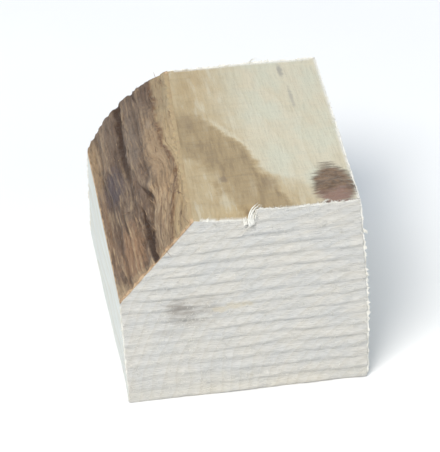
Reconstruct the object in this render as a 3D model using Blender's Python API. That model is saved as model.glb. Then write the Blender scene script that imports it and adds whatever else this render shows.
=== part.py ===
"""A smoking wood chunk: a short block cross-cut from a waney slab, with bark left on one long corner.

X runs across the block, Y along the grain and Z up. The front is the sawn end at -Y, the bark
corner is at the top of the left side, and the block rests on its flat sawn underside.
"""

import math

import bmesh
import bpy
from mathutils import Vector, noise

MM = 0.001

# Driving dimensions, in metres: the block that the slab and the two cross cuts leave.
WIDTH = 50 * MM
LENGTH = 59.5 * MM
HEIGHT = 43 * MM
WANE_ON_TOP = 15 * MM
WANE_ON_SIDE = 17.5 * MM
WANE_BULGE = 2.3 * MM
RIGHT_BULGE = 0.6 * MM

# How far each corner of the block lies from that square block, in millimetres.
FRONT_OFFSETS = {
    "bottom_left": (1.2, -0.6, 0.0),
    "bottom_right": (1.1, 0.5, 0.0),
    "top_right": (-1.4, 1.7, 0.8),
    "top_left": (-0.8, 0.9, -0.1),
    "wane_foot": (0.1, 0.5, 0.5),
}
BACK_OFFSETS = {
    "bottom_left": (-0.5, 0.8, 0.0),
    "bottom_right": (0.6, 0.6, 0.0),
    "top_right": (0.0, -0.5, -0.5),
    "top_left": (1.6, -0.8, -0.8),
    "wane_foot": (-0.5, -0.6, -1.5),
}

# Saw ridges on the two ends: each ridge has a groove, a lip and two rows down its slope.
RIDGES = 16
RIDGE_PROFILE = (0.0, 1.0, 0.7, 0.35)
RIDGE_HEIGHT = 0.45 * MM
RIDGE_SWELL = 0.5
RIDGE_SWELL_LENGTH = 9 * MM
RIDGE_WANDER = 0.35 * MM
RIDGE_WANDER_LENGTH = 12 * MM

# Faces across the block, along the grain and up each ridge row.
COLUMNS = 13
LAYERS = 22
ROWS = RIDGES * len(RIDGE_PROFILE)

# Bark grooves: share across the wane at the back and at the front, depth in mm, half width as a share.
BARK_GROOVES = (
    (0.13, 0.18, 0.5, 0.04),
    (0.35, 0.44, 1.3, 0.045),
    (0.66, 0.52, 0.8, 0.045),
    (0.91, 0.93, 0.8, 0.04),
)
GROOVE_RUN_IN = 0.25
GROOVE_WANDER = 0.03
GROOVE_WANDER_LENGTH = 7 * MM
BARK_PLATE_HEIGHT = 0.5 * MM
BARK_PLATE_WIDTH = 0.16
BARK_PLATE_LENGTH = 11 * MM

# Where the outer bark has come off: towards the front, and above this share of the wane.
SHED_DEPTH = 0.8 * MM
SHED_LENGTH = 0.38
SHED_FROM = 0.5
SHED_EDGE = 0.1
SHED_FRAY = 0.08
SHED_FRAY_LENGTH = 5 * MM
SHED_PLATES_LEFT = 0.3

# The chip along the front of the top, which ends in a torn step, and the burr beyond it.
CHIP_END = 0.35
CHIP_DEPTH = 1.6 * MM
CHIP_REACH = 4 * MM
BURR_HEIGHT = 0.9 * MM
BURR_LENGTH = 0.1
BURR_REACH = 1 * MM

# The share of the height, below the top face, over which the sides follow its relief.
RIM = 0.14

# The knot by the front right corner of the top.
KNOT_CENTRE = (19.5 * MM, -22.8 * MM)
KNOT_RADIUS = 4.6 * MM
KNOT_RISE = 0.5 * MM

SIDE_WAVE = 0.25 * MM
WAVE_LENGTH = 14 * MM
WELD = 0.01 * MM

# Where each face's noise is taken from, so that no two faces wave alike.
RIDGE_SWELL_SEED = 1.0
RIGHT_SEED = 2.0
LEFT_SEED = 3.0
TOP_SEED = 4.0
PLATE_SEED = 5.0
RIDGE_WANDER_SEED = 6.0
FRAY_SEED = 8.0

WOOD_COLOUR = (0.67, 0.61, 0.49, 1.0)
WOOD_ROUGHNESS = 0.85


def block_corner(name, end, offsets):
    """The named corner of the block at its front (end -1) or back (end 1)."""
    left, right = -WIDTH / 2, WIDTH / 2
    square = {
        "bottom_left": (left, 0.0),
        "bottom_right": (right, 0.0),
        "top_right": (right, HEIGHT),
        "top_left": (left + WANE_ON_TOP, HEIGHT),
        "wane_foot": (left, HEIGHT - WANE_ON_SIDE),
    }
    x, z = square[name]
    return Vector((x, end * LENGTH / 2, z)) + Vector(offsets[name]) * MM


def smoothstep(low, high, value):
    """0 below low, 1 above high, and a smooth rise between them."""
    t = min(max((value - low) / (high - low), 0.0), 1.0)
    return t * t * (3 - 2 * t)


def wave(point, length, seed):
    """Smooth noise from -1 to 1 that changes over the given length."""
    return noise.noise(point / length + Vector((seed, 2 * seed, 3 * seed)))


class Block:
    """Places the points of the chunk from shares across (u), along the grain (v) and up (w)."""

    def __init__(self):
        """Works out both ends' corners and where the wane starts on the left side."""
        self.front = {name: block_corner(name, -1, FRONT_OFFSETS) for name in FRONT_OFFSETS}
        self.back = {name: block_corner(name, 1, BACK_OFFSETS) for name in BACK_OFFSETS}
        self.wane_start = 1 - WANE_ON_SIDE / HEIGHT

    def corner(self, name, v):
        """The named long edge of the block at share v of its length."""
        return self.front[name].lerp(self.back[name], v)

    def wane_share(self, w):
        """How far up the wane a row is: 0 at its foot and 1 at the top face."""
        return (w - self.wane_start) / (1 - self.wane_start)

    def wane_normal(self, v):
        """The direction that the bark faces, square to the grain."""
        across = self.corner("top_left", v) - self.corner("wane_foot", v)
        return Vector((-across.z, 0, across.x)).normalized()

    def left(self, v, w):
        """The left side's sawn face, and the round of the wane above it."""
        if w <= self.wane_start:
            return self.corner("bottom_left", v).lerp(self.corner("wane_foot", v), w / self.wane_start)
        s = self.wane_share(w)
        point = self.corner("wane_foot", v).lerp(self.corner("top_left", v), s)
        return point + self.wane_normal(v) * WANE_BULGE * v * math.sin(math.pi * s)

    def right(self, v, w):
        """The right side's sawn face, a little round from bottom to top."""
        point = self.corner("bottom_right", v).lerp(self.corner("top_right", v), w)
        point.x += RIGHT_BULGE * math.sin(math.pi * w)
        return point

    def bark_relief(self, s, v, point):
        """How far the bark stands out or is split, at share s across the wane."""
        depth = 0.0
        for at_back, at_front, groove, half_width in BARK_GROOVES:
            middle = at_front + (at_back - at_front) * v
            middle += GROOVE_WANDER * wave(point, GROOVE_WANDER_LENGTH, at_back)
            depth += groove * MM * math.exp(-(((s - middle) / half_width) ** 2))
        depth *= smoothstep(-GROOVE_RUN_IN, GROOVE_RUN_IN, min(v, 1 - v))
        frayed = v + SHED_FRAY * wave(point, SHED_FRAY_LENGTH, FRAY_SEED)
        shed = 1 - smoothstep(SHED_LENGTH - SHED_EDGE, SHED_LENGTH, frayed)
        shed *= smoothstep(SHED_FROM, SHED_FROM + SHED_EDGE, s)
        plate = noise.noise(Vector((s / BARK_PLATE_WIDTH, point.y / BARK_PLATE_LENGTH, PLATE_SEED)))
        plate *= 1 - (1 - SHED_PLATES_LEFT) * shed
        relief = BARK_PLATE_HEIGHT * plate - depth - SHED_DEPTH * shed
        return relief * math.sin(math.pi * min(max(s, 0.0), 1.0)) ** 0.5

    def top_relief(self, u, v, point):
        """The chip, the burr and the knot on the top face."""
        from_front = v * LENGTH
        torn = u / CHIP_END if u <= CHIP_END else 0.0
        chip = CHIP_DEPTH * torn * (1 - smoothstep(0, CHIP_REACH, from_front))
        burr = BURR_HEIGHT * math.exp(-(((u - CHIP_END - BURR_LENGTH / 2) / BURR_LENGTH) ** 2))
        burr *= 1 - smoothstep(0, BURR_REACH, from_front)
        off_knot = math.hypot(point.x - KNOT_CENTRE[0], point.y - KNOT_CENTRE[1])
        knot = KNOT_RISE * (1 - smoothstep(0.4 * KNOT_RADIUS, KNOT_RADIUS, off_knot))
        if u <= CHIP_END:
            burr = 0.0
        return SIDE_WAVE * wave(point, WAVE_LENGTH, TOP_SEED) + knot + burr - chip

    def place(self, column, layer, row):
        """The finished point of the surface at these steps of the block's grid."""
        u, v, w = column / COLUMNS, layer / LAYERS, row / ROWS
        point = self.left(v, w).lerp(self.right(v, w), u)
        shift = Vector()
        if layer in (0, LAYERS):
            swell = 1 + RIDGE_SWELL * (wave(point, RIDGE_SWELL_LENGTH, RIDGE_SWELL_SEED) - RIDGE_SWELL)
            lip = RIDGE_HEIGHT * RIDGE_PROFILE[row % len(RIDGE_PROFILE)] * swell
            shift.y += lip if layer else -lip
        if column == COLUMNS:
            shift.x += SIDE_WAVE * wave(point, WAVE_LENGTH, RIGHT_SEED)
        if column == 0 and w <= self.wane_start:
            shift.x += SIDE_WAVE * wave(point, WAVE_LENGTH, LEFT_SEED)
        if column == 0 and w > self.wane_start:
            shift += self.wane_normal(v) * self.bark_relief(self.wane_share(w), v, point)
        if 0 < row < ROWS:
            shift.z += RIDGE_WANDER * wave(point, RIDGE_WANDER_LENGTH, RIDGE_WANDER_SEED)
        if w > 1 - RIM and column > 0:
            shift.z += self.top_relief(u, v, point) * (w - 1 + RIM) / RIM
        return point + shift


def add_side(bm, first_steps, second_steps, place):
    """Adds one side of the block as a grid, with place giving each point from its two step numbers."""
    grid = bmesh.ops.create_grid(bm, x_segments=first_steps, y_segments=second_steps, size=0.5)
    for vertex in grid["verts"]:
        first = round((vertex.co.x + 0.5) * first_steps)
        second = round((vertex.co.y + 0.5) * second_steps)
        vertex.co = place(first, second)


def chunk_mesh():
    """The whole chunk: six gridded sides welded along their shared edges and centred over the origin."""
    block = Block()
    bm = bmesh.new()
    for row in (0, ROWS):
        add_side(bm, COLUMNS, LAYERS, lambda a, b, row=row: block.place(a, b, row))
    for layer in (0, LAYERS):
        add_side(bm, COLUMNS, ROWS, lambda a, b, layer=layer: block.place(a, layer, b))
    for column in (0, COLUMNS):
        add_side(bm, LAYERS, ROWS, lambda a, b, column=column: block.place(column, a, b))
    bmesh.ops.remove_doubles(bm, verts=bm.verts, dist=WELD)
    bmesh.ops.recalc_face_normals(bm, faces=bm.faces)
    xs = [vertex.co.x for vertex in bm.verts]
    ys = [vertex.co.y for vertex in bm.verts]
    middle = Vector(((min(xs) + max(xs)) / 2, (min(ys) + max(ys)) / 2, 0))
    bmesh.ops.translate(bm, verts=bm.verts, vec=-middle)
    mesh = bpy.data.meshes.new("wood_chunk")
    bm.to_mesh(mesh)
    bm.free()
    return mesh


def wood_material():
    """Pale, dry, rough-sawn wood."""
    material = bpy.data.materials.new("wood")
    material.use_nodes = True
    surface = material.node_tree.nodes["Principled BSDF"]
    surface.inputs["Base Color"].default_value = WOOD_COLOUR
    surface.inputs["Roughness"].default_value = WOOD_ROUGHNESS
    surface.inputs["Metallic"].default_value = 0.0
    return material


def main():
    """Clears the scene and adds the chunk."""
    for old in list(bpy.data.objects):
        bpy.data.objects.remove(old)
    chunk = bpy.data.objects.new("wood_chunk", chunk_mesh())
    chunk.data.materials.append(wood_material())
    bpy.context.scene.collection.objects.link(chunk)


main()
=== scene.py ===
"""The looks of a smoking wood chunk: rough-sawn pale wood with bark on one long corner.

Sizes are in metres unless a name or comment says millimetres. X runs across the chunk, Y along its
grain and Z up. The sawn end at -Y faces the camera.
"""

import logging
import math
from collections.abc import Callable
from dataclasses import dataclass, field
from enum import Enum

import bmesh
import bpy
import numpy as np
from mathutils import Euler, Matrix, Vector, noise


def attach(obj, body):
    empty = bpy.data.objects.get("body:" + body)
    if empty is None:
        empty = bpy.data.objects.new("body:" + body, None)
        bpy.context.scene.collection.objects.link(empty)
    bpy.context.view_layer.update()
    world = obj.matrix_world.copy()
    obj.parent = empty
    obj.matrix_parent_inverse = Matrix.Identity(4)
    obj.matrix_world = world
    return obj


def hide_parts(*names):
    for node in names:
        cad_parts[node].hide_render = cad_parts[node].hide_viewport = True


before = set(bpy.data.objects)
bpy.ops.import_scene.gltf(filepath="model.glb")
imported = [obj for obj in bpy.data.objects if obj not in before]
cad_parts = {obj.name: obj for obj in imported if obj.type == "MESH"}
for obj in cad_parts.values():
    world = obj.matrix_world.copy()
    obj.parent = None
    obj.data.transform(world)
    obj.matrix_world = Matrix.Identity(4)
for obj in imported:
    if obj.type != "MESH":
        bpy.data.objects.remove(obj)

log = logging.getLogger("wood_chunk")

MM = 0.001
BODY = "root"
NODE = "wood_chunk"
Array = np.ndarray
Socket = bpy.types.NodeSocket
Colour = tuple[float, float, float]
Place = tuple[float, float, float]
Marks = tuple[tuple[float, ...], ...]


class Edge(Enum):
    """The chunk's long edges, which run along the grain."""

    BOTTOM_LEFT = "bottom left"
    BOTTOM_RIGHT = "bottom right"
    TOP_RIGHT = "top right"
    TOP_LEFT = "top left"
    WANE_FOOT = "wane foot"


class Side(Enum):
    """The six sides of a lattice of points, as its axis and the end of that axis."""

    LEFT = (0, 0)
    RIGHT = (0, -1)
    FRONT = (1, 0)
    BACK = (1, -1)
    BOTTOM = (2, 0)
    TOP = (2, -1)


# How far each long edge starts and ends from a square block, in mm: at the front, then at the back.
EDGE_OFFSETS: dict[Edge, tuple[Place, Place]] = {
    Edge.BOTTOM_LEFT: ((1.2, -0.6, 0.0), (-0.5, 0.8, 0.0)),
    Edge.BOTTOM_RIGHT: ((1.1, 0.5, 0.0), (0.6, 0.6, 0.0)),
    Edge.TOP_RIGHT: ((-1.4, 1.7, 0.8), (0.0, -0.5, -0.5)),
    Edge.TOP_LEFT: ((-0.8, 0.9, -0.1), (1.6, -0.8, -0.8)),
    Edge.WANE_FOOT: ((0.1, 0.5, 0.5), (-0.5, -0.6, -1.5)),
}

# Which of the sawn wood's materials each side wears: the ends' is 0, the top's 1 and the sides' 2.
SIDE_MATERIALS: dict[Side, int] = {
    Side.LEFT: 2, Side.RIGHT: 2, Side.FRONT: 0, Side.BACK: 0, Side.BOTTOM: 2, Side.TOP: 1}


def smoothstep(low: float, high: float, value: Array) -> Array:
    """A smooth rise from 0 at low to 1 at high.

    Args:
        low: where the rise starts.
        high: where the rise ends.
        value: the numbers to look up.

    Returns:
        The height of the rise at each number.
    """
    t = np.clip((value - low) / (high - low), 0.0, 1.0)
    return t * t * (3 - 2 * t)


def hump(value: Array, middle: float | Array, half_width: float | Array) -> Array:
    """A round hump of height 1 with its top at the middle."""
    return np.exp(-(((value - middle) / half_width) ** 2))


def between(start: Array, end: Array, share: Array) -> Array:
    """Points that lie the given share of the way from start to end."""
    return start + (end - start) * share[:, None]


def sampled(points: Array, size: float | Place, seed: float,
            pattern: Callable[[Vector], float] = noise.noise) -> Array:
    """Smooth noise at many points.

    Args:
        points: where to read the noise, in metres.
        size: the length over which it changes, or that length along each axis.
        seed: moves the noise elsewhere, so that two calls don't match.
        pattern: the noise that is read.

    Returns:
        One number for each point, mostly from -1 to 1.
    """
    shift = Vector((seed, 2 * seed, 3 * seed))
    return np.array([pattern(Vector(place) + shift) for place in points / np.array(size)])


def rough(place: Vector) -> float:
    """Noise with four octaves, for torn surfaces."""
    return noise.fractal(place, 0.9, 2.1, 4)


def lattice_shell(counts: tuple[int, int, int]) -> tuple[Array, Array, Array]:
    """The outside of a box-shaped lattice of points, with its faces turned outwards.

    Args:
        counts: how many steps the lattice has along each axis.

    Returns:
        The three steps of each point of the shell, the quads between them, and each quad's side
        as its place in the Side enum.
    """
    shape = tuple(count + 1 for count in counts)
    numbers = np.arange(math.prod(shape)).reshape(shape)
    quads, sides = [], []
    for order, side in enumerate(Side):
        axis, end = side.value
        sheet = np.take(numbers, end, axis=axis)
        corners = [sheet[:-1, :-1], sheet[1:, :-1], sheet[1:, 1:], sheet[:-1, 1:]]
        faces = np.stack(corners, -1).reshape(-1, 4)
        quads.append(faces[:, ::-1] if (end == 0) != (axis == 1) else faces)
        sides.append(np.full(len(faces), order))
    used, joined = np.unique(np.concatenate(quads), return_inverse=True)
    return np.stack(np.unravel_index(used, shape), 1), joined.reshape(-1, 4), np.concatenate(sides)


def tube_faces(rings: int, around: int) -> list[list[int]]:
    """The faces of a closed tube.

    Args:
        rings: how many rings of points it has.
        around: how many points each ring has.

    Returns:
        Its sides and both its ends, as numbers of its points.
    """
    faces = []
    for ring in range(rings - 1):
        for point in range(around):
            following = (point + 1) % around
            faces.append([ring * around + point, ring * around + following,
                          (ring + 1) * around + following, (ring + 1) * around + point])
    faces.append(list(range(around))[::-1])
    faces.append([(rings - 1) * around + point for point in range(around)])
    return faces


def new_piece(name: str, points: Array, faces: Array | list, smooth: bool = True) -> bpy.types.Object:
    """A mesh object at the origin, linked to the scene.

    Args:
        name: the piece's name.
        points: its vertices, in metres.
        faces: its faces, as vertex numbers.
        smooth: whether its shading is smooth.

    Returns:
        The new object.
    """
    mesh = bpy.data.meshes.new(name)
    mesh.from_pydata(points.tolist(), [], [list(map(int, face)) for face in faces])
    mesh.validate()
    if smooth:
        mesh.shade_smooth()
    piece = bpy.data.objects.new(name, mesh)
    bpy.context.scene.collection.objects.link(piece)
    return piece


def add_attribute(piece: bpy.types.Object, name: str, values: Array) -> None:
    """Stores one number for each of a piece's points, for its material or its nodes to read."""
    attribute = piece.data.attributes.new(name, "FLOAT", "POINT")
    attribute.data.foreach_set("value", values.astype(np.float32))


def turn_outwards(piece: bpy.types.Object) -> None:
    """Turns a closed piece's faces outwards.

    Args:
        piece: the piece.
    """
    bm = bmesh.new()
    bm.from_mesh(piece.data)
    bmesh.ops.recalc_face_normals(bm, faces=bm.faces)
    bm.to_mesh(piece.data)
    bm.free()


@dataclass(frozen=True)
class ChunkForm:
    """The chunk's shape: a block whose top left corner is the round outside of the log.

    Shares u, v and w run from 0 to 1 across the block, along its grain and up.
    """

    width: float = 50 * MM
    length: float = 59.5 * MM
    height: float = 43 * MM
    wane_on_top: float = 15 * MM
    wane_on_side: float = 17.5 * MM
    wane_bulge: float = 2.3 * MM
    right_bulge: float = 0.6 * MM
    hollow: float = 0.0
    hollow_rim: tuple[float, float] = (0.12, 0.05)
    centre: tuple[float, float] = (0.238 * MM, 0.123 * MM)

    @property
    def wane_start(self) -> float:
        """The share of the height where the wane begins."""
        return 1 - self.wane_on_side / self.height

    def edge(self, edge: Edge, v: Array) -> Array:
        """Points of a long edge.

        Args:
            edge: which long edge.
            v: shares along the grain.

        Returns:
            The edge's point at each share.
        """
        square = {
            Edge.BOTTOM_LEFT: (-self.width / 2, 0.0),
            Edge.BOTTOM_RIGHT: (self.width / 2, 0.0),
            Edge.TOP_RIGHT: (self.width / 2, self.height),
            Edge.TOP_LEFT: (self.wane_on_top - self.width / 2, self.height),
            Edge.WANE_FOOT: (-self.width / 2, self.height - self.wane_on_side),
        }
        x, z = square[edge]
        front, back = (np.array(offset) * MM for offset in EDGE_OFFSETS[edge])
        start = np.array((x, -self.length / 2, z)) + front
        end = np.array((x, self.length / 2, z)) + back
        return between(start[None], end[None], v)

    def wane_normal(self, v: Array) -> Array:
        """The direction that the bark faces.

        Args:
            v: shares along the grain.

        Returns:
            The direction at each share, square to the grain.
        """
        across = self.edge(Edge.TOP_LEFT, v) - self.edge(Edge.WANE_FOOT, v)
        normal = np.stack([-across[:, 2], np.zeros(len(v)), across[:, 0]], 1)
        return normal / np.linalg.norm(normal, axis=1)[:, None]

    def wane(self, s: Array, v: Array) -> Array:
        """The round of the log.

        Args:
            s: shares from the wane's foot to the top face.
            v: shares along the grain.

        Returns:
            Its points.
        """
        chord = between(self.edge(Edge.WANE_FOOT, v), self.edge(Edge.TOP_LEFT, v), s)
        out = self.wane_bulge * v * np.sin(np.pi * s)
        rim_s, rim_v = self.hollow_rim
        inside = smoothstep(0, rim_v, np.minimum(v, 1 - v)) * smoothstep(0, rim_s, np.minimum(s, 1 - s))
        return chord + self.wane_normal(v) * (out - self.hollow * inside)[:, None]

    def left(self, v: Array, w: Array) -> Array:
        """The left side: sawn wood up to the wane's foot, and the wane above it.

        Args:
            v: shares along the grain.
            w: shares of the height.

        Returns:
            Its points.
        """
        sawn = between(self.edge(Edge.BOTTOM_LEFT, v), self.edge(Edge.WANE_FOOT, v), w / self.wane_start)
        s = (w - self.wane_start) / (1 - self.wane_start)
        return np.where((s <= 0)[:, None], sawn, self.wane(np.clip(s, 0, 1), v))

    def right(self, v: Array, w: Array) -> Array:
        """The right side, a little round from bottom to top.

        Args:
            v: shares along the grain.
            w: shares of the height.

        Returns:
            Its points.
        """
        points = between(self.edge(Edge.BOTTOM_RIGHT, v), self.edge(Edge.TOP_RIGHT, v), w)
        points[:, 0] += self.right_bulge * np.sin(np.pi * w)
        return points

    def point(self, u: Array, v: Array, w: Array) -> Array:
        """The points at these shares of the block, before any relief."""
        return between(self.left(v, w), self.right(v, w), u)

    def centred(self, points: Array) -> Array:
        """The same points with the chunk's middle over the origin, as in the frame."""
        return points - np.array((*self.centre, 0.0))


# The wood without its bark, and hollowed a little under it to leave room for the cracks.
BARE_WOOD = ChunkForm(wane_on_top=16.0 * MM, wane_on_side=18.6 * MM, hollow=1.4 * MM)


def joined_piece(name: str, parts: list[tuple[Array, list]], form: ChunkForm,
                 material: bpy.types.Material, smooth: bool = True) -> bpy.types.Object:
    """Several closed shapes as one piece, with their faces turned outwards.

    Args:
        name: the piece's name.
        parts: the points and faces of each shape.
        form: the chunk that they belong to.
        material: their material.
        smooth: whether their shading is smooth.

    Returns:
        The new piece.
    """
    points, faces, first = [], [], 0
    for part_points, part_faces in parts:
        points.append(part_points)
        faces += [[first + number for number in face] for face in part_faces]
        first += len(part_points)
    piece = new_piece(name, form.centred(np.concatenate(points)), faces, smooth)
    piece.data.materials.append(material)
    turn_outwards(piece)
    return piece


class Wiring:
    """Adds nodes to a tree and wires them up, so that a network reads like a formula."""

    def __init__(self, tree: bpy.types.NodeTree) -> None:
        """Works on the given tree."""
        self.tree = tree

    def feed(self, socket: Socket, value: object) -> None:
        """Links a socket to another, or sets its value.

        Args:
            socket: the socket that is fed.
            value: another socket, or the value itself.
        """
        if isinstance(value, Socket):
            self.tree.links.new(value, socket)
        else:
            socket.default_value = value

    def add(self, kind: str, inputs: dict | None = None, **settings: object) -> bpy.types.Node:
        """Adds one node.

        Args:
            kind: the node's type.
            inputs: what goes into its sockets, by name or number.
            settings: the node's own properties.

        Returns:
            The new node.
        """
        node = self.tree.nodes.new(kind)
        for name, value in settings.items():
            setattr(node, name, value)
        for name, value in (inputs or {}).items():
            self.feed(node.inputs[name], value)
        return node

    def math(self, operation: str, *values: object) -> Socket:
        """The result of a sum on sockets or numbers."""
        return self.add("ShaderNodeMath", dict(enumerate(values)), operation=operation).outputs[0]

    def times(self, first: object, second: object) -> Socket:
        """The product of two sockets or numbers."""
        return self.math("MULTIPLY", first, second)

    def plus(self, value: object, factor: object, added: object) -> Socket:
        """The value times the factor, and what is added to that."""
        return self.math("MULTIPLY_ADD", value, factor, added)

    def less(self, value: object, taken: object) -> Socket:
        """The value less what is taken from it."""
        return self.math("SUBTRACT", value, taken)


class Shading(Wiring):
    """The nodes of one material. Its patterns are laid out in millimetres of the piece's own space."""

    def __init__(self, name: str, roughness: float, sheen: float = 0.0) -> None:
        """Starts a material.

        Args:
            name: the material's name.
            roughness: the roughness of the whole surface.
            sheen: how much soft light its loose fibres catch.
        """
        self.material = bpy.data.materials.new(name)
        self.material.use_nodes = True
        super().__init__(self.material.node_tree)
        self.shader = self.tree.nodes["Principled BSDF"]
        constants = {"Roughness": roughness, "Specular IOR Level": 0.25, "Sheen Weight": sheen,
                     "Sheen Roughness": 0.6}
        for socket, value in constants.items():
            self.shader.inputs[socket].default_value = value
        place = self.add("ShaderNodeTexCoord").outputs["Object"]
        per_metre = (1 / MM, 1 / MM, 1 / MM)
        self.mm = self.add("ShaderNodeMapping", {"Vector": place, "Scale": per_metre}).outputs[0]

    def attribute(self, name: str) -> Socket:
        """A number that the piece's mesh stores at its points."""
        return self.add("ShaderNodeAttribute", attribute_name=name).outputs["Fac"]

    def axis(self, name: str) -> Socket:
        """One coordinate in millimetres."""
        return self.add("ShaderNodeSeparateXYZ", {0: self.mm}).outputs[name]

    def noise(self, per_mm: Place, seed: float, detail: float = 4.0, roughness: float = 0.55) -> Socket:
        """Noise from 0 to 1.

        Args:
            per_mm: how often it changes in a millimetre along each axis.
            seed: moves the noise elsewhere.
            detail: its number of octaves.
            roughness: how strong the finer octaves are.

        Returns:
            The socket with its value.
        """
        place = (7.3 * seed, 3.1 * seed, 5.7 * seed)
        mapped = self.add("ShaderNodeMapping", {"Vector": self.mm, "Location": place, "Scale": per_mm})
        inputs = {"Vector": mapped.outputs[0], "Scale": 1.0, "Detail": detail, "Roughness": roughness}
        return self.add("ShaderNodeTexNoise", inputs).outputs[0]

    def step(self, value: object, low: float, high: float) -> Socket:
        """A smooth rise from 0 at low to 1 at high. With low above high it falls instead.

        Args:
            value: the number to look up.
            low: where the rise starts.
            high: where the rise ends.

        Returns:
            The socket with the height of the rise.
        """
        if low > high:
            return self.less(1.0, self.step(value, high, low))
        inputs = {0: value, 1: low, 2: high}
        return self.add("ShaderNodeMapRange", inputs, interpolation_type="SMOOTHSTEP").outputs[0]

    def mix(self, share: object, first: object, second: object, blend: str = "MIX") -> Socket:
        """A colour between two colours.

        Args:
            share: how much of the second colour shows.
            first: the colour below, as a socket or three numbers.
            second: the colour above.
            blend: how the second goes over the first.

        Returns:
            The socket with the mixed colour.
        """
        below, above = (value if isinstance(value, Socket) else (*value, 1.0) for value in (first, second))
        inputs = {0: share, 6: below, 7: above}
        return self.add("ShaderNodeMix", inputs, data_type="RGBA", blend_type=blend).outputs[2]

    def lay(self, colour: object, above: object, mask: object, cover: float) -> Socket:
        """Lays a colour over another by the given cover where the mask is 1."""
        return self.mix(self.times(mask, cover), colour, above)

    def darken(self, colour: object, share: object, keep: float) -> Socket:
        """The colour with its light cut to keep where share is 1."""
        return self.mix(share, colour, (keep, keep, keep), "MULTIPLY")

    def away(self, centre: Place, half: Place, turn: float = 0.0) -> Socket:
        """How far each place lies from a middle.

        Args:
            centre: the middle, in mm.
            half: the length along each axis that counts as 1, in mm.
            turn: how far those axes are turned about Y, in degrees.

        Returns:
            The socket with the distance.
        """
        turned = (0, math.radians(turn), 0)
        inputs = {"Vector": self.mm, "Location": centre, "Rotation": turned, "Scale": half}
        local = self.add("ShaderNodeMapping", inputs, vector_type="TEXTURE").outputs[0]
        return self.add("ShaderNodeVectorMath", {0: local}, operation="LENGTH").outputs["Value"]

    def spot(self, centre: Place, half: Place, turn: float = 0.0, ragged: float = 0.5,
             seed: float = 1.0, grain: Place = (1.1, 1.1, 1.1)) -> Socket:
        """A soft-edged patch.

        Args:
            centre: its middle, in mm.
            half: its half size along each axis, in mm, or a large number to reach right through.
            turn: how far it is turned about Y, in degrees.
            ragged: how broken its rim is.
            seed: which noise breaks the rim.
            grain: how often that noise changes in a millimetre along each axis.

        Returns:
            1 in its middle and 0 outside.
        """
        broken = self.plus(self.noise(grain, seed), ragged, self.away(centre, half, turn))
        return self.step(broken, 1.0 + ragged / 2, 0.35 + ragged / 2)

    def finish(self, colour: Socket, bumps: list[tuple[Socket, float]]) -> bpy.types.Material:
        """Wires the colour and the bumps to the shader.

        Args:
            colour: the surface's colour.
            bumps: heights from 0 to 1, each with its depth in mm.

        Returns:
            The finished material.
        """
        self.feed(self.shader.inputs["Base Color"], colour)
        normal = None
        for height, depth in bumps:
            node = self.add("ShaderNodeBump", {"Height": height, "Strength": 1.0, "Distance": depth * MM})
            if normal is not None:
                self.feed(node.inputs["Normal"], normal)
            normal = node.outputs[0]
        if normal is not None:
            self.feed(self.shader.inputs["Normal"], normal)
        return self.material


@dataclass(frozen=True)
class GrowthRings:
    """The growth rings that the wood finishes share: the pith in X and Z, and a year's growth, in mm."""

    pith: tuple[float, float] = (29.3, -5.7)
    spacing: float = 2.1
    wobble: float = 7.0
    along: float = 1e5

    def over(self, sh: Shading, colour: Socket, strength: float, late: Colour) -> Socket:
        """Tints the late wood that ends each year.

        Args:
            sh: the material that it goes into.
            colour: the wood's colour.
            strength: how strongly the rings show.
            late: the tint of the late wood.

        Returns:
            The colour with the rings.
        """
        radius = sh.away((self.pith[0], 0, self.pith[1]), (1, self.along, 1))
        warped = sh.plus(sh.noise((0.06, 0.02, 0.06), 3.0, 2.0), self.wobble, radius)
        year = sh.math("FRACT", sh.math("DIVIDE", warped, self.spacing))
        return sh.mix(sh.times(sh.math("POWER", year, 3.0), strength), colour, late, "MULTIPLY")


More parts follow.
